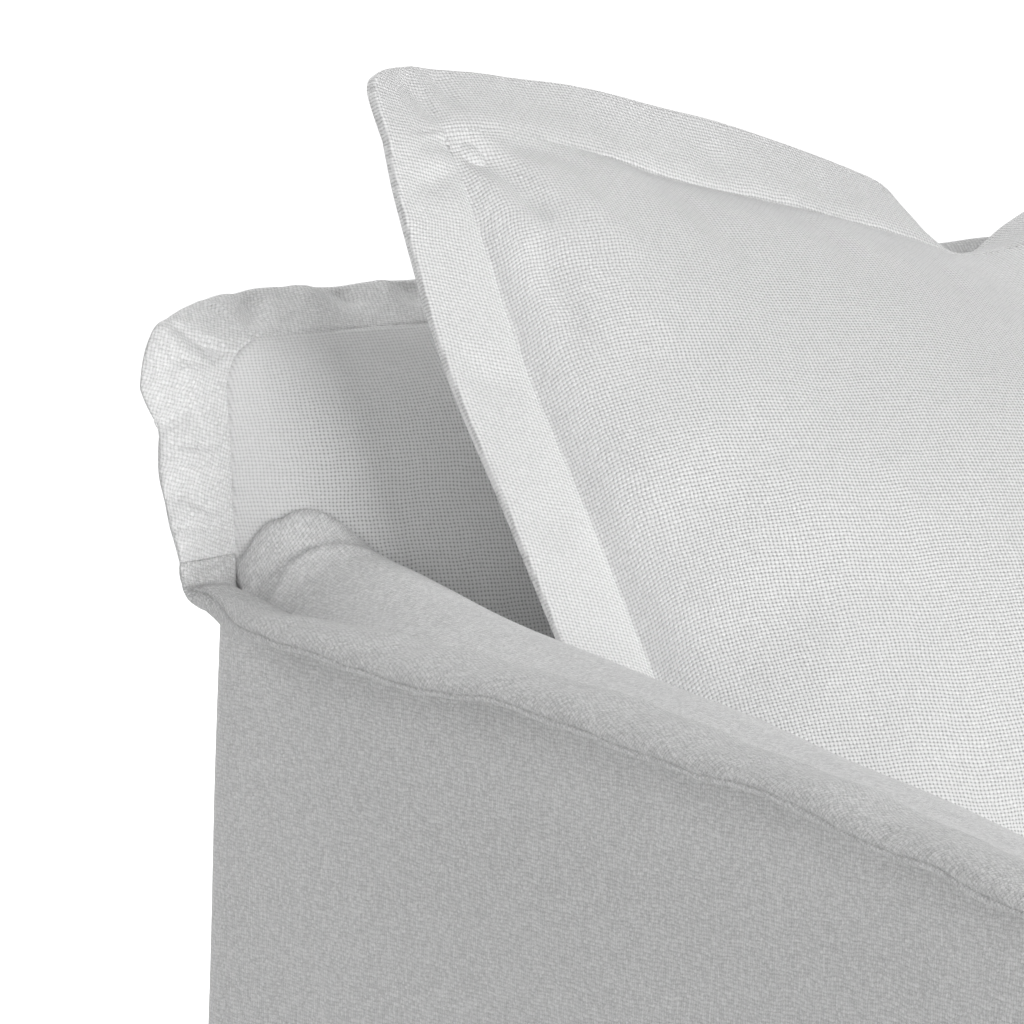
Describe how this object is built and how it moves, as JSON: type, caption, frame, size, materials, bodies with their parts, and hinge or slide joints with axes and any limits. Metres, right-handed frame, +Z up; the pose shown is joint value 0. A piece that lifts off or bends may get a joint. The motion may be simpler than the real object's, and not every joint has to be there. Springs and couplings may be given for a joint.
{
  "type": "armchair slipcover with cushions",
  "caption": "Hollow fitted cloth cover for a low armchair, with doubled flanges along the arms and round the back, and loose seat and back cushions.",
  "frame": {"origin": "bottom centre of the bounding box, at the hem", "axes": "+Z up; -Y is the front of the chair; +X is to the right of a viewer in front of it"},
  "size_m": [0.915, 0.9612, 0.8893],
  "materials": {
    "slipcover_cloth": "matte coarse plain weave"
  },
  "bodies": {
    "root": {"outside_back": "slipcover_cloth", "inside_back": "slipcover_cloth", "front_apron": "slipcover_cloth", "seat_deck": "slipcover_cloth", "outside_arm_left": "slipcover_cloth", "outside_arm_right": "slipcover_cloth", "inside_arm_left": "slipcover_cloth", "inside_arm_right": "slipcover_cloth", "arm_front_left": "slipcover_cloth", "arm_front_right": "slipcover_cloth", "flange_arm_left": "slipcover_cloth", "flange_arm_right": "slipcover_cloth", "flange_back": "slipcover_cloth", "back_cushion": "slipcover_cloth", "seat_cushion": "slipcover_cloth"}
  },
  "joints": []
}
